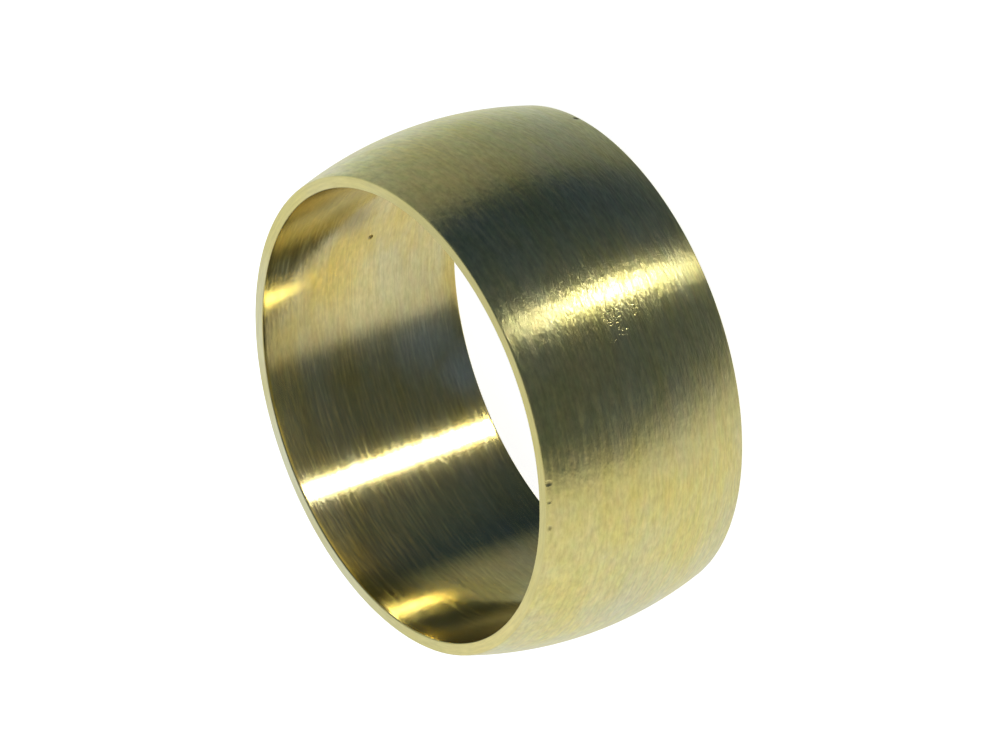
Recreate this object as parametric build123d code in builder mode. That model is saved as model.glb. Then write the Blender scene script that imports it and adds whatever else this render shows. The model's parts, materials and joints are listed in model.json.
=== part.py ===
from build123d import *
import math
import os

# Compression ring for 15 mm copper tube: one turned brass ring with a plain
# bore, a barrel-shaped outside and two narrow flat ends.
# It stands on one end with its axis upright. The origin is the centre of that
# end, and everything is in millimetres.

# The tube that the ring slides over
tube_diameter = 15.0
slip_clearance = 0.1  # on the diameter, so that the ring slides on by hand

# The ring
ring_length = 7.6
crown_diameter = 17.1  # the widest place
crown_height = 3.63  # above the lower end: the barrel is turned a little off centre
barrel_arc_radius = 13.4  # the barrel's curve, seen from the side
edge_break = 0.05  # radius that deburring leaves on every edge

bore_radius = (tube_diameter + slip_clearance) / 2
crown_radius = crown_diameter / 2


def barrel_radius(height):
    """Outside radius of the barrel at a height above the lower end."""
    from_crown = height - crown_height
    fall = barrel_arc_radius - math.sqrt(barrel_arc_radius**2 - from_crown**2)
    return crown_radius - fall


lower_end_radius = barrel_radius(0)
upper_end_radius = barrel_radius(ring_length)

with BuildPart() as compression_ring:
    # Half of the ring's section, seen in the XZ plane: the straight bore, the
    # two ends, and one shallow arc from end to end for the barrel. The arc is
    # what lets the two cones of a fitting squeeze the ring's thin ends inwards.
    with BuildSketch(Plane.XZ) as section:
        with BuildLine() as outline:
            bore_line = Line((bore_radius, 0), (bore_radius, ring_length))
            upper_end_line = Line(bore_line @ 1, (upper_end_radius, ring_length))
            barrel_arc = ThreePointArc(
                upper_end_line @ 1,
                (crown_radius, crown_height),
                (lower_end_radius, 0),
            )
            lower_end_line = Line(barrel_arc @ 1, bore_line @ 0)
        make_face()
        # Both corners of both ends are broken, as on a tumbled ring.
        fillet(section.vertices(), radius=edge_break)
    revolve(axis=Axis.Z)

compression_ring.part.label = "compression_ring"

print("bore radius", bore_radius, "crown radius", crown_radius)
print("lower end radius", round(lower_end_radius, 3), "upper", round(upper_end_radius, 3))
print("wall at the crown", round(crown_radius - bore_radius, 3))
print("volume in cubic millimetres", round(compression_ring.part.volume, 2))

os.makedirs("parts", exist_ok=True)
export_step(compression_ring.part, "parts/compression_ring.step")
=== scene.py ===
# %% [markdown]
# A brass compression ring, the small barrel-shaped part that seals copper tube
# in a plumbing fitting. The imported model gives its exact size. This script
# gives it the looks of the real one: bare brass, turned on a lathe, lit so that
# long bands of light and dark run along it.

import json
import math

import bpy
from mathutils import Euler, Matrix, Vector


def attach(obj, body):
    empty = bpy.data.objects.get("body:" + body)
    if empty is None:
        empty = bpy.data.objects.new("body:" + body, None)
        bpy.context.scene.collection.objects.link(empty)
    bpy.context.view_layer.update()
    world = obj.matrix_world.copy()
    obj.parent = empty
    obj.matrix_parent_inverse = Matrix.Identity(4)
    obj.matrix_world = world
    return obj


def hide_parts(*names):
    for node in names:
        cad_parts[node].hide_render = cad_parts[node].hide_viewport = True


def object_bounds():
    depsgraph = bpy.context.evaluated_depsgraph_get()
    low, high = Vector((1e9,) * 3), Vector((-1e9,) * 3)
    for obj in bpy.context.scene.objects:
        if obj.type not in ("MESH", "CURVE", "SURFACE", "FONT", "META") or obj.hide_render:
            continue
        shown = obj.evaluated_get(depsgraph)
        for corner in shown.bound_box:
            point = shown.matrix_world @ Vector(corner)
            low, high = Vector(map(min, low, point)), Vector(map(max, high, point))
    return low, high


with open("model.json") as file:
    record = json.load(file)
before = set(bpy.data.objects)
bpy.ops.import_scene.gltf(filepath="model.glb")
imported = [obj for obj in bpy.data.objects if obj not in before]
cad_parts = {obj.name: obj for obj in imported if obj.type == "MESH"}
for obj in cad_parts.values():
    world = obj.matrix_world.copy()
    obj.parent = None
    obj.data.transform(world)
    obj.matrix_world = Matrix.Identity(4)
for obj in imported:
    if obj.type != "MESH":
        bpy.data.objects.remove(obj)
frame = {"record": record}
cad_low, cad_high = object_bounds()
scene = bpy.context.scene
scene.view_settings.view_transform = "Standard"


def box_size(low, high):
    """The size of a box in millimetres, from two corners in metres."""
    return [round(1000 * (top - bottom), 3) for bottom, top in zip(low, high)]


print("CAD box in millimetres:", box_size(cad_low, cad_high))

# %% [markdown]
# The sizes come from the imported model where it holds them: the bore's radius
# from its mount, and the length and the crown from its box. The three that it
# can't say in a number, which are the barrel's curve, the height of its crown
# and the rounding of its edges, are written here.

# %% Sizes in metres
mounts = {mount["name"]: mount for mount in frame["record"]["mounts"]}
BORE_RADIUS = mounts["tube_bore"]["dims"]["r_mm"] / 1000
LENGTH = cad_high.z - cad_low.z
CROWN_RADIUS = cad_high.x
CROWN_HEIGHT = 0.00363
BARREL_ARC = 0.0134
EDGE_BREAK = 0.00005
print("bore radius", BORE_RADIUS, "length", round(LENGTH, 5), "crown", round(CROWN_RADIUS, 5))

# %% [markdown]
# The camera. The photograph shows almost no perspective, which means a long
# lens a good way off. It looks down into the ring's mouth, and it is rolled
# until the ring's axis lies as it does in the photograph: the ring lay on its
# side there, and here it stands on its end. The camera could be moved by hand
# until the picture fits. It is quicker to work out: the mouth's centre and
# radius, as pixels of the photograph, give its place by similar triangles.

# %% Camera
IMAGE_WIDTH, IMAGE_HEIGHT = 999, 756
SENSOR_WIDTH = 36.0
LENS = 720.0
LOOK_DOWN = math.radians(30.6)
ROLL = math.radians(109.6)
MOUTH_PIXEL = (399.3, 416.3)
MOUTH_RADIUS_PIXELS = 238.1

focal_pixels = LENS / SENSOR_WIDTH * IMAGE_WIDTH
distance = focal_pixels * BORE_RADIUS / MOUTH_RADIUS_PIXELS
turn = Euler((math.pi / 2 - LOOK_DOWN, 0, 0)).to_matrix() @ Matrix.Rotation(-ROLL, 3, "Z")
right, up, back = turn.col
mouth_right = (MOUTH_PIXEL[0] - IMAGE_WIDTH / 2) / focal_pixels * distance
mouth_up = (IMAGE_HEIGHT / 2 - MOUTH_PIXEL[1]) / focal_pixels * distance
mouth_centre = Vector((0, 0, LENGTH))

camera_data = bpy.data.cameras.new("camera")
camera_data.sensor_width = SENSOR_WIDTH
camera_data.lens = LENS
camera = bpy.data.objects.new("camera", camera_data)
place = mouth_centre - right * mouth_right - up * mouth_up + back * distance
camera.matrix_world = Matrix.Translation(place) @ turn.to_4x4()
scene.collection.objects.link(camera)
scene.camera = camera
print("camera at", [round(x, 4) for x in place], "metres")

# %% [markdown]
# The ring is a body of revolution, so Geometry Nodes can make it by a rule. A
# drawn profile that is screwed round the axis would look the same, but the tree
# keeps every size as a named input. It starts with those inputs. Two small
# helpers keep all the trees short to read: one adds a node with its settings
# and its input values, and the other adds a named socket.

# %% The ring's tree and its named sizes
RING_SIZES = {
    "Bore Radius": BORE_RADIUS,
    "Length": LENGTH,
    "Crown Radius": CROWN_RADIUS,
    "Crown Height": CROWN_HEIGHT,
    "Barrel Arc": BARREL_ARC,
    "Edge Break": EDGE_BREAK,
    "Step": 0.0001,
}
STEPS_AROUND = 480


def add(tree, kind, inputs=None, **settings):
    """Adds a node. Inputs maps a socket's name or number to a value or to a socket to link."""
    node = tree.nodes.new(kind)
    for name, value in settings.items():
        setattr(node, name, value)
    for key, value in (inputs or {}).items():
        if isinstance(value, bpy.types.NodeSocket):
            tree.links.new(value, node.inputs[key])
        else:
            node.inputs[key].default_value = value
    return node


def new_socket(tree, name, kind, value=None, output=False):
    """Adds a named input or output to a node group."""
    way = "OUTPUT" if output else "INPUT"
    socket = tree.interface.new_socket(name=name, in_out=way, socket_type=kind)
    if value is not None:
        socket.default_value = value
    return socket


ring_tree = bpy.data.node_groups.new("Turned ring", "GeometryNodeTree")
identifiers = {}
for name, value in RING_SIZES.items():
    identifiers[name] = new_socket(ring_tree, name, "NodeSocketFloat", value).identifier
steps_socket = new_socket(ring_tree, "Steps Around", "NodeSocketInt", STEPS_AROUND)
identifiers["Steps Around"] = steps_socket.identifier
for name in ("Barrel Brass", "Bore Brass", "End Brass"):
    identifiers[name] = new_socket(ring_tree, name, "NodeSocketMaterial").identifier
new_socket(ring_tree, "Geometry", "NodeSocketGeometry", output=True)

given = add(ring_tree, "NodeGroupInput")
size = {socket.name: socket for socket in given.outputs if socket.name}
print("inputs of the ring's tree:", ", ".join(size))

# %% [markdown]
# The outside is one shallow arc of a circle, seen from the side. It is what
# lets the two cones of a fitting squeeze the ring's thin ends inwards. At any
# height, the outside radius is the crown's radius less the arc's fall. The rule
# is written twice: in Python, for places on the ring that its finish needs, and
# in Math nodes, for the thickness of the wall.

# %% The barrel's curve


def barrel_radius(height):
    """The outside radius at a height above the lower end."""
    fall = BARREL_ARC - math.sqrt(BARREL_ARC**2 - (height - CROWN_HEIGHT) ** 2)
    return CROWN_RADIUS - fall


def maths(tree, operation, *values):
    """The output of a Math node that does one operation on numbers or sockets."""
    return add(tree, "ShaderNodeMath", dict(enumerate(values)), operation=operation).outputs[0]


def barrel_wall(height):
    """The wall's thickness at a height, as nodes of the ring's tree."""
    from_crown = maths(ring_tree, "SUBTRACT", height, size["Crown Height"])
    arc_squared = maths(ring_tree, "POWER", size["Barrel Arc"], 2.0)
    drop_squared = maths(ring_tree, "POWER", from_crown, 2.0)
    reach = maths(ring_tree, "SQRT", maths(ring_tree, "SUBTRACT", arc_squared, drop_squared))
    fall = maths(ring_tree, "SUBTRACT", size["Barrel Arc"], reach)
    outside = maths(ring_tree, "SUBTRACT", size["Crown Radius"], fall)
    return maths(ring_tree, "SUBTRACT", outside, size["Bore Radius"])


end_radii = [round(1000 * barrel_radius(height), 3) for height in (0, LENGTH)]
print("outside radius of the lower and the upper end:", end_radii, "mm")

# %% [markdown]
# The section starts as the wall of a plain tube: a rectangle with rounded
# corners. Its long sides have only two points each, and a wall that is to curve
# needs many, so each side is cut into steps of one length.

# %% The section of a plain tube
CORNER_STEPS = 5

end_wall = barrel_wall(size["Length"])
tube = add(
    ring_tree,
    "GeometryNodeCurvePrimitiveQuadrilateral",
    {"Width": end_wall, "Height": size["Length"]},
    mode="RECTANGLE",
)
rounded = add(
    ring_tree,
    "GeometryNodeFilletCurve",
    {"Curve": tube.outputs[0], "Radius": size["Edge Break"], "Count": CORNER_STEPS},
    mode="POLY",
)
here = add(ring_tree, "GeometryNodeInputPosition").outputs[0]
next_point = add(ring_tree, "GeometryNodeOffsetPointInCurve", {"Offset": 1})
there = add(
    ring_tree,
    "GeometryNodeFieldAtIndex",
    {"Index": next_point.outputs["Point Index"], "Value": here},
    data_type="FLOAT_VECTOR",
    domain="POINT",
).outputs[0]
gap = add(ring_tree, "ShaderNodeVectorMath", {0: here, 1: there}, operation="DISTANCE")
cuts = maths(ring_tree, "FLOOR", maths(ring_tree, "DIVIDE", gap.outputs["Value"], size["Step"]))
stepped = add(ring_tree, "GeometryNodeSubdivideCurve", {"Curve": rounded.outputs[0], "Cuts": cuts})
print("no step of the section is longer than", 1000 * RING_SIZES["Step"], "mm")

# %% [markdown]
# The plain wall is then swollen into the barrel. A point that lies some part of
# the way across the thin wall moves to the same part of the barrel's wall at its
# height, which keeps the rounded corners tangent to both sides. Rounding after
# the swelling would need each corner's own angle.

# %% Swell the wall into a barrel
point = add(ring_tree, "ShaderNodeSeparateXYZ", {0: here})
half_length = maths(ring_tree, "DIVIDE", size["Length"], 2.0)
height = maths(ring_tree, "ADD", point.outputs["Y"], half_length)
across = maths(ring_tree, "ADD", maths(ring_tree, "DIVIDE", point.outputs["X"], end_wall), 0.5)
swollen = maths(ring_tree, "MULTIPLY", across, barrel_wall(height))
moved = add(ring_tree, "ShaderNodeCombineXYZ", {"X": swollen, "Y": height})
section = add(
    ring_tree,
    "GeometryNodeSetPosition",
    {"Geometry": stepped.outputs[0], "Position": moved.outputs[0]},
)
print("wall at the crown:", round(1000 * (CROWN_RADIUS - BORE_RADIUS), 3), "mm")

# %% [markdown]
# The section is swept round a circle of the bore's radius. Curve to Mesh hangs
# it below the circle, so the result is turned over.

# %% Sweep the section round the axis
circle = add(
    ring_tree,
    "GeometryNodeCurvePrimitiveCircle",
    {"Resolution": size["Steps Around"], "Radius": size["Bore Radius"]},
    mode="RADIUS",
)
swept = add(
    ring_tree,
    "GeometryNodeCurveToMesh",
    {"Curve": circle.outputs[0], "Profile Curve": section.outputs[0]},
)
upright = add(
    ring_tree,
    "GeometryNodeTransform",
    {"Geometry": swept.outputs[0], "Rotation": (math.pi, 0, 0)},
)
smooth = add(ring_tree, "GeometryNodeSetShadeSmooth", {"Geometry": upright.outputs[0]})
print("one section every", 360 / STEPS_AROUND, "degrees")

# %% [markdown]
# Three cuts made the ring: one tool turned the barrel, a drill or reamer opened
# the bore, and a parting tool faced the ends. Each left its own finish, so each
# gets its own brass. Picking the faces by hand would have to be done again for
# each new size, so they are told apart by which way they look: the bore's look
# at the axis, and the ends' look up or down.

# %% Which brass goes where
FACES_THE_AXIS = -0.5 * BORE_RADIUS
FACES_UP_OR_DOWN = 0.7

looks = add(ring_tree, "GeometryNodeInputNormal").outputs[0]
facing = add(ring_tree, "ShaderNodeSeparateXYZ", {0: looks})
outward = add(ring_tree, "ShaderNodeVectorMath", {0: looks, 1: here}, operation="DOT_PRODUCT")
in_bore = maths(ring_tree, "LESS_THAN", outward.outputs["Value"], FACES_THE_AXIS)
steepness = maths(ring_tree, "ABSOLUTE", facing.outputs["Z"])
on_end = maths(ring_tree, "GREATER_THAN", steepness, FACES_UP_OR_DOWN)

painted = smooth.outputs[0]
choices = {"Barrel Brass": True, "Bore Brass": in_bore, "End Brass": on_end}
for brass_name, choice in choices.items():
    painted = add(
        ring_tree,
        "GeometryNodeSetMaterial",
        {"Geometry": painted, "Selection": choice, "Material": size[brass_name]},
    ).outputs[0]
real = add(ring_tree, "GeometryNodeRealizeInstances", {"Geometry": painted})
add(ring_tree, "NodeGroupOutput", {0: real.outputs[0]})
print("the ring's tree has", len(ring_tree.nodes), "nodes")

# %% [markdown]
# Turning marks. A lathe tool leaves grooves that run round the ring, finer than
# the eye can count and far too fine to cut into a mesh. Noise that is stretched
# a long way round the ring and packed tightly along it gives such marks at any
# scale, from hairlines to broad bands. Per Metre says how close they lie, and
# Around how often they change on the way round, so a small number gives long
# marks. The coordinate along the ring is height plus radius, so that the marks
# go on as circles over the end faces. All three finishes use them, so they are
# a node group.

# %% Shared group: turning marks


def shader_group(name, inputs, outputs):
    """A new shader node group with named inputs and outputs, and its two end nodes."""
    group = bpy.data.node_groups.new(name, "ShaderNodeTree")
    for socket_name, value in inputs.items():
        kind = "NodeSocketVector" if isinstance(value, tuple) else "NodeSocketFloat"
        new_socket(group, socket_name, kind, value)
    for socket_name, kind in outputs.items():
        new_socket(group, socket_name, kind, output=True)
    return group, add(group, "NodeGroupInput").outputs, add(group, "NodeGroupOutput").inputs


marks_group, given, result = shader_group(
    "Turning marks",
    {"Per Metre": 8000.0, "Around": 3.0, "Detail": 2.0},
    {"Height": "NodeSocketFloat", "Tint": "NodeSocketColor"},
)
where = add(marks_group, "ShaderNodeTexCoord").outputs["Object"]
xyz = add(marks_group, "ShaderNodeSeparateXYZ", {0: where}).outputs
flat = add(marks_group, "ShaderNodeCombineXYZ", {"X": xyz["X"], "Y": xyz["Y"]}).outputs[0]
radius = add(marks_group, "ShaderNodeVectorMath", {0: flat}, operation="LENGTH").outputs["Value"]
angle = add(marks_group, "ShaderNodeVectorMath", {0: flat}, operation="NORMALIZE").outputs[0]
angle = add(marks_group, "ShaderNodeSeparateXYZ", {0: angle}).outputs
along = maths(marks_group, "ADD", xyz["Z"], radius)
stretched = add(
    marks_group,
    "ShaderNodeCombineXYZ",
    {
        "X": maths(marks_group, "MULTIPLY", angle["X"], given["Around"]),
        "Y": maths(marks_group, "MULTIPLY", angle["Y"], given["Around"]),
        "Z": maths(marks_group, "MULTIPLY", along, given["Per Metre"]),
    },
)
noise = add(
    marks_group,
    "ShaderNodeTexNoise",
    {"Vector": stretched.outputs[0], "Scale": 1.0, "Detail": given["Detail"], "Roughness": 0.6},
)
marks_group.links.new(noise.outputs["Fac"], result["Height"])
marks_group.links.new(noise.outputs["Color"], result["Tint"])
print("turning marks take:", ", ".join(socket.name for socket in given if socket.name))

# %% [markdown]
# Places on the ring. A ring from a bag of rings has a few pits and a nick from
# knocking about, and its film is not the same everywhere. Some spots are painted
# shade or a painted reflection instead. Each such place is a spot: a point on the
# ring and a reach. The group gives 1 at the point and falls to 0 at the reach,
# with an uneven edge. Painting them on an image would need an unwrapped mesh, and
# a spot needs only its point.

# %% Shared group: spot
LUMPS_PER_REACH = 1.2

spot_group, given, result = shader_group(
    "Spot",
    {"Centre": (0.0, 0.0, 0.0), "Reach": 0.0001},
    {"Mask": "NodeSocketFloat"},
)
where = add(spot_group, "ShaderNodeTexCoord").outputs["Object"]
away = add(
    spot_group,
    "ShaderNodeVectorMath",
    {0: where, 1: given["Centre"]},
    operation="DISTANCE",
).outputs["Value"]
lumps = maths(spot_group, "DIVIDE", LUMPS_PER_REACH, given["Reach"])
wobble = add(spot_group, "ShaderNodeTexNoise", {"Vector": where, "Scale": lumps, "Detail": 2.0})
uneven = maths(spot_group, "MULTIPLY", away, maths(spot_group, "ADD", wobble.outputs["Fac"], 0.5))
mask = add(
    spot_group,
    "ShaderNodeMapRange",
    {"Value": uneven, "From Min": 0.0, "From Max": given["Reach"], "To Min": 1.0, "To Max": 0.0},
    interpolation_type="SMOOTHSTEP",
)
spot_group.links.new(mask.outputs[0], result["Mask"])
print("a spot takes:", ", ".join(socket.name for socket in given if socket.name))

# %% [markdown]
# Roughness. The marks of one tool come in three sizes: hairlines, grooves that
# the eye just sees, and broad bands. The first two make the roughness swing, so
# that a reflection frays at its edges as it does on turned brass. The swing
# starts from the smoothest value and only goes up. That keeps each brass on one
# side of about 0.274, because a roughness that crosses it inside one brass made
# dark streaks beside the lamp's reflection once the render was denoised.

# %% Marks and roughness
HAIRLINES, GROOVES, BANDS = 13000.0, 5000.0, 1400.0  # marks per metre
FRAYS_FROM, FRAYS_TO = 0.47, 0.72  # the part of the hairlines' noise that counts
GROOVE_SHARE = 0.25
PIT_ROUGHNESS = 0.3


def use(tree, group, **inputs):
    """The outputs of a node that uses a shared group, with its inputs set by name."""
    named = {name.replace("_", " ").title(): value for name, value in inputs.items()}
    return add(tree, "ShaderNodeGroup", named, node_tree=group).outputs


def marks(tree, per_metre, around, detail=2.0):
    """Turning marks of one size, as heights from 0 to 1."""
    return use(tree, marks_group, per_metre=per_metre, around=around, detail=detail)["Height"]


def spread(tree, value, low, high, start=0.3, end=0.7):
    """Maps noise from its usual range, start to end, onto low to high."""
    settings = {"Value": value, "From Min": start, "From Max": end, "To Min": low, "To Max": high}
    return add(tree, "ShaderNodeMapRange", settings).outputs[0]


def cut_roughness(tree, cut, hairlines, grooves, pitted):
    """The smoothest value of one cut, plus its swing, and more in the pits."""
    swing = cut["swing"]
    fraying = spread(tree, hairlines, 0.0, swing, FRAYS_FROM, FRAYS_TO)
    drift = spread(tree, grooves, 0.0, GROOVE_SHARE * swing)
    rough = maths(tree, "ADD", maths(tree, "ADD", fraying, drift), cut["roughness"])
    return maths(tree, "MULTIPLY_ADD", pitted, PIT_ROUGHNESS, rough)


print("hairlines are about", round(1e6 / HAIRLINES), "micrometres apart")

# %% [markdown]
# The film. Bare brass grows a thin film in air. It runs between a yellow and a
# cooler grey in patches, which the marks stretch round the ring. One colour for
# the whole ring would look like paint. Some places need more than chance gives:
# warm and cool spots push the patches towards one colour or the other, and red
# and pale spots lay a tone of their own over them. Spots of painted shade lay a
# dark tone where shade falls, and on the ends the pale spots are a painted
# reflection.

# %% The film on the brass
RED_FILM = (0.94, 0.76, 0.27)
# Pale tone: on the ends it lays a painted reflection.
PALE_TONE = (0.88, 0.84, 0.54)
# Painted shade: the dark tone that spots of painted shade lay on the brass.
PAINTED_SHADE_TONE = (0.33, 0.27, 0.10)
PATCHES = 450.0  # per metre
PATCH_SHARE, BAND_SHARE = 0.6, 0.4
SPOT_PUSH = 0.6


def blend(tree, factor, first, second):
    """A mix of two colours or vectors."""
    settings = {"Factor": factor, "A": first, "B": second}
    return add(tree, "ShaderNodeMix", settings, data_type="VECTOR").outputs[1]


def spots(tree, places):
    """One mask for several spots, each a centre, a reach and a strength from 0 to 1."""
    total = 0.0
    for centre, reach, strength in places:
        mask = use(tree, spot_group, centre=centre, reach=reach)["Mask"]
        total = maths(tree, "MAXIMUM", total, maths(tree, "MULTIPLY", mask, strength))
    return total


def film_and_painted_light(tree, colours, bands, places):
    """The film's colour: patches between two colours, and the spots laid on them, some of them
    painted shade or a painted reflection.
    """
    patches = spread(tree, marks(tree, PATCHES, 2.2, 5.0), 0.0, PATCH_SHARE, 0.36, 0.64)
    stain = maths(tree, "ADD", patches, spread(tree, bands, 0.0, BAND_SHARE))
    for kind, push in (("cool", SPOT_PUSH), ("warm", -SPOT_PUSH)):
        if kind in places:
            stain = maths(tree, "MULTIPLY_ADD", spots(tree, places[kind]), push, stain)
    film_with_painted_light = blend(tree, stain, *colours)
    for kind, tone in (("red", RED_FILM), ("pale", PALE_TONE), ("painted_shade", PAINTED_SHADE_TONE)):
        if kind in places:
            film_with_painted_light = blend(tree, spots(tree, places[kind]), film_with_painted_light, tone)
    return film_with_painted_light


print("patches are about", round(1000 / PATCHES, 1), "mm long along the ring")

# %% [markdown]
# Close up, the film is mottled: each hairline and each grain is a little
# lighter or darker than the next, and a speckle shifts its hue. All of it is
# weak, and all of it is stretched round the ring, as the cut is.

# %% The mottle in the film
SPECKLES, SPECKLE_AROUND = 4000.0, 12.0


def scaled(tree, colour, factor):
    """A colour times a number."""
    settings = {0: colour, "Scale": factor}
    return add(tree, "ShaderNodeVectorMath", settings, operation="SCALE").outputs[0]


def mottled(tree, film_with_painted_light, mottle, hairlines, bands, grain):
    """The film's colour, with its painted light, given its fine shade and tint. Mottle is how
    strong they are.
    """
    shade = spread(tree, hairlines, 0.93, 1.07)
    shade = maths(tree, "MULTIPLY", shade, spread(tree, bands, 0.98, 1.02))
    grain_shade = spread(tree, grain, 1 - 0.8 * mottle, 1 + 0.8 * mottle)
    film_with_painted_light = scaled(tree, film_with_painted_light, maths(tree, "MULTIPLY", shade, grain_shade))
    speckle = use(tree, marks_group, per_metre=SPECKLES, around=SPECKLE_AROUND, detail=2.0)
    tint = blend(tree, mottle, (1.0, 1.0, 1.0), speckle["Tint"])
    tint = scaled(tree, tint, 1 + 0.5 * mottle)  # the speckle's mean is a mid grey
    return add(tree, "ShaderNodeVectorMath", {0: film_with_painted_light, 1: tint}, operation="MULTIPLY").outputs[0]


print("speckles are about", round(1e6 / SPECKLES), "micrometres apart")

# %% [markdown]
# The surface. The grooves and the grain are a few micrometres deep, far too
# fine for the mesh, so Bump nodes tilt the shading instead. A scuff is a patch
# of small dents that catch the lamp, and a pit is one deeper dent, so both go
# into a last Bump node that is inverted.

# %% The surface of a cut
DENTS = 11000.0  # per metre
DENT_DEPTH = 0.00004
SCUFF_SHARE = 0.4


def cut_surface(tree, cut, hairlines, grooves, grain, scuffed, pitted):
    """The shading normal of one cut, with its grooves, grain, scuffs and pits."""
    heights = maths(tree, "MULTIPLY_ADD", hairlines, 0.5, grooves)
    grooved = add(tree, "ShaderNodeBump", {"Height": heights, "Distance": cut["groove_depth"]})
    grained = add(
        tree,
        "ShaderNodeBump",
        {"Height": grain, "Distance": cut["grain_depth"], "Normal": grooved.outputs[0]},
    )
    where = add(tree, "ShaderNodeTexCoord").outputs["Object"]
    dents = add(tree, "ShaderNodeTexNoise", {"Vector": where, "Scale": DENTS, "Detail": 1.0})
    dents = spread(tree, dents.outputs["Fac"], 0.0, SCUFF_SHARE, 0.55, 0.7)
    depth = maths(tree, "ADD", maths(tree, "MULTIPLY", dents, scuffed), pitted)
    settings = {"Height": depth, "Distance": DENT_DEPTH, "Normal": grained.outputs[0]}
    return add(tree, "ShaderNodeBump", settings, invert=True).outputs[0]


print("the deepest pit is", round(1e6 * DENT_DEPTH), "micrometres deep")

# %% [markdown]
# Brass. A Principled shader as metal, with strong anisotropy, does what fine
# grooves do: it spreads a reflection along the ring's axis and keeps it narrow
# round the ring. Bump alone would need a render far finer than the grooves. The
# tangent is the direction of the cut, which is square to the axis and to the
# radius, and the quarter turn sets the spread across it.

# %% Brass
GRIME = (0.16, 0.14, 0.08)
GRAINS, GRAIN_AROUND = 9000.0, 24.0
AXIS = (0.0, 0.0, 1.0)
QUARTER_TURN = 0.25


def brass(name, colours, cut, places):
    """Turned brass, with the marks of one cut, a film of two colours, and its places."""
    material = bpy.data.materials.new(name)
    material.use_nodes = True
    tree = material.node_tree
    principled = tree.nodes["Principled BSDF"]
    principled.distribution = "MULTI_GGX"
    principled.inputs["Metallic"].default_value = 1.0
    principled.inputs["Anisotropic"].default_value = cut["anisotropy"]
    principled.inputs["Anisotropic Rotation"].default_value = QUARTER_TURN

    where = add(tree, "ShaderNodeTexCoord").outputs["Object"]
    cut_way = add(tree, "ShaderNodeVectorMath", {0: AXIS, 1: where}, operation="CROSS_PRODUCT")
    hairlines = marks(tree, HAIRLINES, 1.3 * cut["marks_around"], 1.0)
    grooves = marks(tree, GROOVES, cut["marks_around"], 1.0)
    bands = marks(tree, BANDS, 0.4 * cut["marks_around"])
    grain = marks(tree, GRAINS, GRAIN_AROUND)
    pitted = spots(tree, places.get("pits", []))
    scuffed = spots(tree, places.get("scuffs", []))

    rough = cut_roughness(tree, cut, hairlines, grooves, pitted)
    film_with_painted_light = film_and_painted_light(tree, colours, bands, places)
    film_with_painted_light = mottled(tree, film_with_painted_light, cut["mottle"], hairlines, bands, grain)
    normal = cut_surface(tree, cut, hairlines, grooves, grain, scuffed, pitted)
    tree.links.new(cut_way.outputs[0], principled.inputs["Tangent"])
    tree.links.new(rough, principled.inputs["Roughness"])
    tree.links.new(blend(tree, pitted, film_with_painted_light, GRIME), principled.inputs["Base Color"])
    tree.links.new(normal, principled.inputs["Normal"])
    print(name, "has", len(tree.nodes), "nodes")
    return material


# %% [markdown]
# The barrel is the finish that people see. It is satin, with the strongest
# anisotropy. It has a nick on its lower edge, three small pits by its upper
# edge and a scuffed patch beside the lamp's reflection. The centre of a spot is
# an angle round the ring and a height on it, which can be read off a photograph.

# %% The barrel's brass
BARREL_COLOURS = ((0.83, 0.725, 0.235), (0.765, 0.705, 0.35))
BARREL_CUT = {
    "roughness": 0.280,
    "swing": 0.11,
    "anisotropy": 0.91,
    "groove_depth": 0.000003,
    "grain_depth": 0.000011,
    "marks_around": 6.0,
    "mottle": 0.15,
}


def on_ring(degrees, height, radius=None):
    """A point on the ring at an angle round it, on the barrel unless a radius is given."""
    out = radius or barrel_radius(height)
    turn = math.radians(degrees)
    return (out * math.cos(turn), out * math.sin(turn), height)


BARREL_PLACES = {
    "pits": [
        (on_ring(-30.0, 0.00017), 0.00016, 1.0),
        (on_ring(-116.4, 0.00748), 0.00014, 0.5),
        (on_ring(-121.0, 0.00750), 0.00010, 0.3),
        (on_ring(-127.8, 0.00748), 0.00013, 0.5),
    ],
    "scuffs": [
        (on_ring(-84.8, 0.00405), 0.00042, 1.0),
        (on_ring(-85.4, 0.00325), 0.00026, 1.0),
        (on_ring(-88.6, 0.00385), 0.00022, 1.0),
        (on_ring(-90.2, 0.00430), 0.00015, 1.0),
    ],
    "cool": [
        (on_ring(-130.0, 0.0056), 0.0017, 0.4),
        (on_ring(-112.0, 0.0022), 0.0024, 0.8),
        (on_ring(-160.0, 0.0042), 0.0020, 0.4),
        (on_ring(-40.0, 0.0012), 0.0028, 0.9),
        (on_ring(-60.0, 0.0012), 0.0030, 0.9),
    ],
    "warm": [
        (on_ring(-150.0, 0.0068), 0.0022, 0.7),
        (on_ring(-166.0, 0.0066), 0.0022, 0.7),
        (on_ring(-145.0, 0.0024), 0.0018, 0.7),
        (on_ring(-132.0, 0.0050), 0.0016, 0.7),
        (on_ring(-128.0, 0.0032), 0.0015, 0.6),
    ],
    "red": [
        (on_ring(-38.0, 0.0060), 0.0034, 0.8),
        (on_ring(-24.0, 0.0055), 0.0024, 0.6),
        (on_ring(-94.0, 0.0054), 0.0018, 0.7),
    ],
}
barrel_brass = brass("barrel_brass", BARREL_COLOURS, BARREL_CUT, BARREL_PLACES)

# %% [markdown]
# The bore is smoother than the barrel and nearer a mirror, and its film is a
# deeper yellow. It has one pit. Its spots of painted shade do the work of light:
# they darken two places where the photograph has shade and a weaker second
# reflection that this studio doesn't give.

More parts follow.
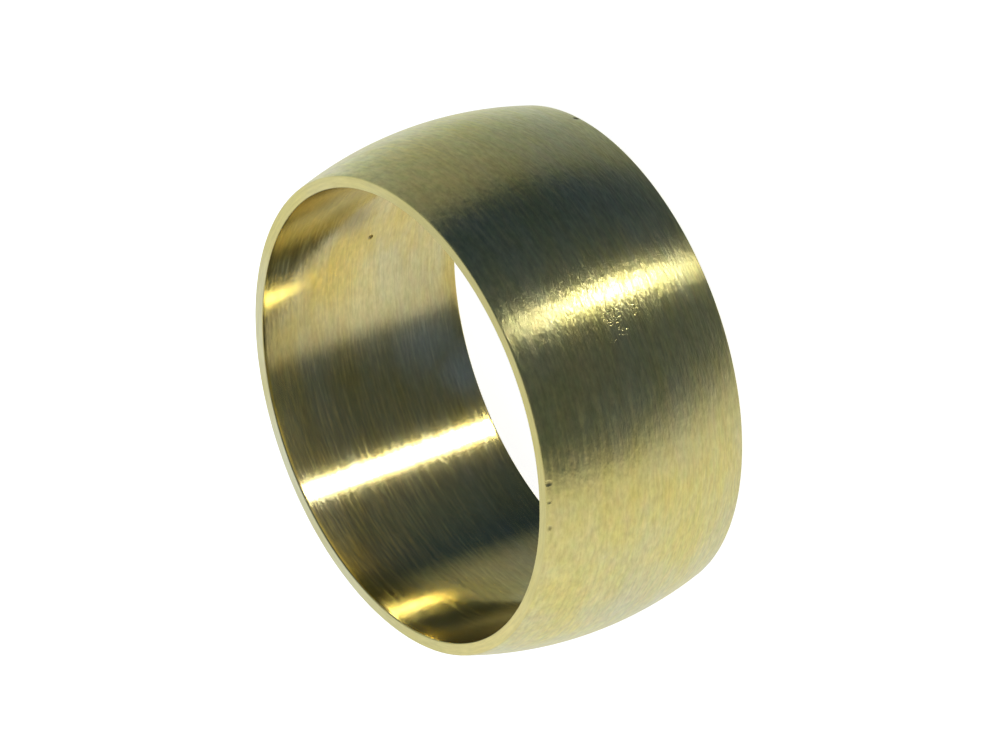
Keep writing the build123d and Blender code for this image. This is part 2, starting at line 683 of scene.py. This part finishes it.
# %% The bore's brass
BORE_COLOURS = ((0.74, 0.58, 0.16), (0.66, 0.60, 0.32))
BORE_CUT = {
    "roughness": 0.155,
    "swing": 0.06,
    "anisotropy": 0.6,
    "groove_depth": 0.0000006,
    "grain_depth": 0.000002,
    "marks_around": 4.0,
    "mottle": 0.12,
}


def in_bore_at(degrees, height):
    """A point on the bore's wall at an angle round the ring."""
    return on_ring(degrees, height, BORE_RADIUS)


BORE_PLACES = {
    "pits": [(in_bore_at(40.9, 0.00350), 0.00012, 0.8)],
    "cool": [
        (in_bore_at(54.0, 0.0021), 0.0024, 0.9),
        (in_bore_at(66.0, 0.0052), 0.0018, 0.8),
        (in_bore_at(20.0, 0.0066), 0.0026, 0.8),
    ],
    "warm": [
        (in_bore_at(48.0, 0.0048), 0.0020, 0.9),
        (in_bore_at(141.0, 0.0045), 0.0030, 0.9),
    ],
    "red": [
        (in_bore_at(120.0, 0.0038), 0.0040, 1.0),
        (in_bore_at(132.0, 0.0036), 0.0024, 0.9),
    ],
    "pale": [
        (in_bore_at(62.0, 0.0036), 0.0024, 0.45),
        (in_bore_at(73.0, 0.0016), 0.0020, 0.9),
        (in_bore_at(85.0, 0.0004), 0.0014, 1.0),
        (in_bore_at(40.0, 0.0070), 0.0007, 1.0),
    ],
    # Painted shade: these darken the bore where shade and a weaker second reflection fall.
    "painted_shade": [
        (in_bore_at(20.0, 0.0060), 0.0013, 0.6),
        (in_bore_at(26.0, 0.0051), 0.0012, 0.7),
        (in_bore_at(32.0, 0.0043), 0.0012, 0.7),
        (in_bore_at(137.0, 0.0068), 0.0016, 0.85),
        (in_bore_at(144.0, 0.0063), 0.0012, 0.6),
    ],
}
bore_brass = brass("bore_brass", BORE_COLOURS, BORE_CUT, BORE_PLACES)

# %% [markdown]
# The ends are the dullest of the three, with their marks as circles. They are
# narrow, so they get no grain. The film is paler on the side that faces away
# from the camera, which is a painted reflection, a little redder in one place,
# and darker in another, which is painted shade.

# %% The ends' brass
UPPER_END_RADIUS = 0.00795
END_COLOURS = ((0.79, 0.68, 0.23), (0.77, 0.68, 0.29))
END_CUT = {
    "roughness": 0.36,
    "swing": 0.05,
    "anisotropy": 0.7,
    "groove_depth": 0.000003,
    "grain_depth": 0.0,
    "marks_around": 7.0,
    "mottle": 0.04,
}


def on_upper_end(degrees):
    """A point in the middle of the upper end's narrow face."""
    return on_ring(degrees, LENGTH, 0.5 * (BORE_RADIUS + UPPER_END_RADIUS))


END_PLACES = {
    "red": [(on_upper_end(-170.0), 0.0050, 0.4)],
    # Painted reflection: the side of the end away from the camera is paler.
    "pale": [
        (on_upper_end(58.0), 0.0040, 0.7),
        (on_upper_end(90.0), 0.0045, 0.9),
        (on_upper_end(122.0), 0.0040, 0.7),
    ],
    # Painted shade: the end is darker round -45 degrees.
    "painted_shade": [(on_upper_end(-45.0), 0.0050, 0.15)],
}
end_brass = brass("end_brass", END_COLOURS, END_CUT, END_PLACES)

# %% [markdown]
# The tree now runs once with its sizes set, and its result is kept as a plain
# mesh. The modifier goes, so nothing in the finished model depends on it. The
# mesh rides on the ring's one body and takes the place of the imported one.

# %% Make the ring
BRASSES = {"Barrel Brass": barrel_brass, "Bore Brass": bore_brass, "End Brass": end_brass}

source = bpy.data.objects.new("ring_source", bpy.data.meshes.new("ring_source"))
scene.collection.objects.link(source)
modifier = source.modifiers.new("Turned ring", "NODES")
modifier.node_group = ring_tree
for name, value in {**RING_SIZES, **BRASSES, "Steps Around": STEPS_AROUND}.items():
    modifier[identifiers[name]] = value
bpy.context.view_layer.update()

made = source.evaluated_get(bpy.context.evaluated_depsgraph_get())
ring = bpy.data.objects.new("turned_ring", bpy.data.meshes.new_from_object(made))
ring.data.name = "turned_ring"
scene.collection.objects.link(ring)
bpy.data.objects.remove(source)

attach(ring, "root")
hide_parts("compression_ring")
ring.data.calc_loop_triangles()
print("ring:", len(ring.data.loop_triangles), "triangles,", [m.name for m in ring.data.materials])

# %% [markdown]
# The studio. Polished metal shows its surroundings, so the bands of light on the
# ring are a picture of the studio. The ring in the photograph lay on a white
# table in a dim room, with one lamp. Round the ring's axis, that is a white side,
# a dark side and a narrow bright strip in it. Lamps and cards could be set up to
# do the same. Here the ring stands on its end and the table is its neighbour, so
# the studio is painted on the world as a plan: each direction round the axis has
# its own brightness, and each band can be set alone. The plan leans a little
# with height, so that the bands cross the barrel at a slight angle, as they do
# in the photograph.

# %% The studio, as a plan round the ring
STUDIO_PLAN = [
    (-180.0, (0.81, 0.81, 0.80)),
    (-158.0, (0.745, 0.735, 0.68)),
    (-146.0, (0.68, 0.67, 0.61)),
    (-139.0, (0.56, 0.55, 0.51)),
    (-131.5, (0.12, 0.135, 0.16)),
    (-120.0, (0.072, 0.092, 0.13)),
    (-60.0, (0.072, 0.088, 0.13)),
    (-40.0, (0.046, 0.066, 0.11)),
    (-20.0, (0.024, 0.042, 0.092)),
    (-12.0, (0.018, 0.036, 0.085)),
    (-6.0, (0.09, 0.115, 0.15)),
    (2.0, (0.19, 0.21, 0.25)),
    (26.0, (0.27, 0.31, 0.34)),
    (42.0, (0.38, 0.43, 0.46)),
    (54.0, (0.56, 0.65, 0.72)),
    (66.0, (0.82, 0.86, 0.92)),
    (120.0, (0.78, 0.83, 0.95)),
    (150.0, (0.78, 0.80, 0.90)),
]
LEAN = 5.5
LEANS_FROM, LEANS_TO = -60.0, 0.0  # degrees of elevation


def plan_position(degrees):
    """Where a direction round the axis lies on the plan, from 0 to 1."""
    return (degrees + 180) / 360


world = bpy.data.worlds.new("studio")
scene.world = world
world.use_nodes = True
tree = world.node_tree
tree.nodes.clear()
direction = add(tree, "ShaderNodeTexCoord").outputs["Generated"]
towards = add(tree, "ShaderNodeSeparateXYZ", {0: direction}).outputs
azimuth = maths(tree, "DEGREES", maths(tree, "ARCTAN2", towards["Y"], towards["X"]))
elevation = maths(tree, "DEGREES", maths(tree, "ARCSINE", towards["Z"]))
leaning = maths(tree, "ADD", azimuth, spread(tree, elevation, -LEAN, LEAN, LEANS_FROM, LEANS_TO))
turned = maths(tree, "FRACT", maths(tree, "DIVIDE", maths(tree, "ADD", leaning, 180.0), 360.0))
plan = add(tree, "ShaderNodeValToRGB", {"Fac": turned})
stops = plan.color_ramp.elements
stops.remove(stops[1])
for number, (degrees, colour) in enumerate(STUDIO_PLAN):
    stop = stops[0] if number == 0 else stops.new(plan_position(degrees))
    stop.position = plan_position(degrees)
    stop.color = (*colour, 1.0)
print("studio plan:", len(stops), "stops")

# %% [markdown]
# The lamp is a small bright rectangle with soft edges. A lamp object would do
# as well, but painted on the world its place is given by the same two angles as
# the bands, so it is easy to set against them. The brass spreads its reflection
# along the axis, and so draws the small rectangle out into a long streak.

# %% The lamp
LAMP_AZIMUTH, LAMP_HALF_WIDTH, LAMP_SIDE_SOFTNESS = -70.2, 2.2, 0.5
LAMP_ELEVATION, LAMP_HALF_HEIGHT, LAMP_END_SOFTNESS = -29.0, 4.0, 2.0
LAMP_BRIGHTNESS = 56.0


def band(tree, value, centre, half_width, softness):
    """1 within half_width of the centre, falling smoothly to 0 at its edges."""
    away = maths(tree, "ABSOLUTE", maths(tree, "SUBTRACT", value, centre))
    inner, outer = half_width - softness, half_width + softness
    return add(
        tree,
        "ShaderNodeMapRange",
        {"Value": away, "From Min": inner, "From Max": outer, "To Min": 1.0, "To Max": 0.0},
        interpolation_type="SMOOTHSTEP",
    ).outputs[0]


wide = band(tree, azimuth, LAMP_AZIMUTH, LAMP_HALF_WIDTH, LAMP_SIDE_SOFTNESS)
high = band(tree, elevation, LAMP_ELEVATION, LAMP_HALF_HEIGHT, LAMP_END_SOFTNESS)
lamp = maths(tree, "MULTIPLY", maths(tree, "MULTIPLY", wide, high), LAMP_BRIGHTNESS)
plan_and_lamp = {0: plan.outputs["Color"], 1: lamp}
lit = add(tree, "ShaderNodeVectorMath", plan_and_lamp, operation="ADD").outputs[0]
print("lamp:", 2 * LAMP_HALF_WIDTH, "by", 2 * LAMP_HALF_HEIGHT, "degrees")

# %% [markdown]
# The background of the photograph is plain white, so the camera, and anything
# seen through clear glass, sees the world as white. Glossy rays see the plan
# instead, because a white room would wash the dark bands off the metal.

# %% White behind the ring
WHITE = (1.0, 1.0, 1.0)

seen = add(tree, "ShaderNodeLightPath").outputs
direct = maths(tree, "MAXIMUM", seen["Is Camera Ray"], seen["Is Transmission Ray"])
sight = blend(tree, direct, lit, WHITE)
background = add(tree, "ShaderNodeBackground", {"Color": sight, "Strength": 1.0})
add(tree, "ShaderNodeOutputWorld", {"Surface": background.outputs[0]})
print("the world has", len(tree.nodes), "nodes")

# %% [markdown]
# The floor is matt white paper, with a glow that only the camera sees, so that
# it turns out white without more light on the ring. The glow leaves almost
# nothing of the ring's shadow, and the photograph shows almost none. Mirror-like
# rays and shadow rays pass through the paper, because in the photograph the
# ring's own surroundings lie in their way, and the plan holds those.

# %% Floor
FLOOR_HALF = 1.0
PAPER_WHITE = (0.85, 0.85, 0.85, 1.0)
PAPER_GLOW = 0.9

floor_mesh = bpy.data.meshes.new("floor")
corners = [(-FLOOR_HALF, -FLOOR_HALF, 0), (FLOOR_HALF, -FLOOR_HALF, 0)]
corners += [(FLOOR_HALF, FLOOR_HALF, 0), (-FLOOR_HALF, FLOOR_HALF, 0)]
floor_mesh.from_pydata(corners, [], [(0, 1, 2, 3)])
floor = bpy.data.objects.new("floor", floor_mesh)
scene.collection.objects.link(floor)
floor.visible_glossy = False
floor.visible_shadow = False

paper = bpy.data.materials.new("white_paper")
paper.use_nodes = True
tree = paper.node_tree
tree.nodes.clear()
seen = add(tree, "ShaderNodeLightPath").outputs
camera_glow = maths(tree, "MULTIPLY", seen["Is Camera Ray"], PAPER_GLOW)
matt = add(tree, "ShaderNodeBsdfDiffuse", {"Color": PAPER_WHITE})
glow = add(tree, "ShaderNodeEmission", {"Strength": camera_glow})
both = add(tree, "ShaderNodeAddShader", {0: matt.outputs[0], 1: glow.outputs[0]})
add(tree, "ShaderNodeOutputMaterial", {"Surface": both.outputs[0]})
floor_mesh.materials.append(paper)
print("floor:", 2 * FLOOR_HALF, "metres square")
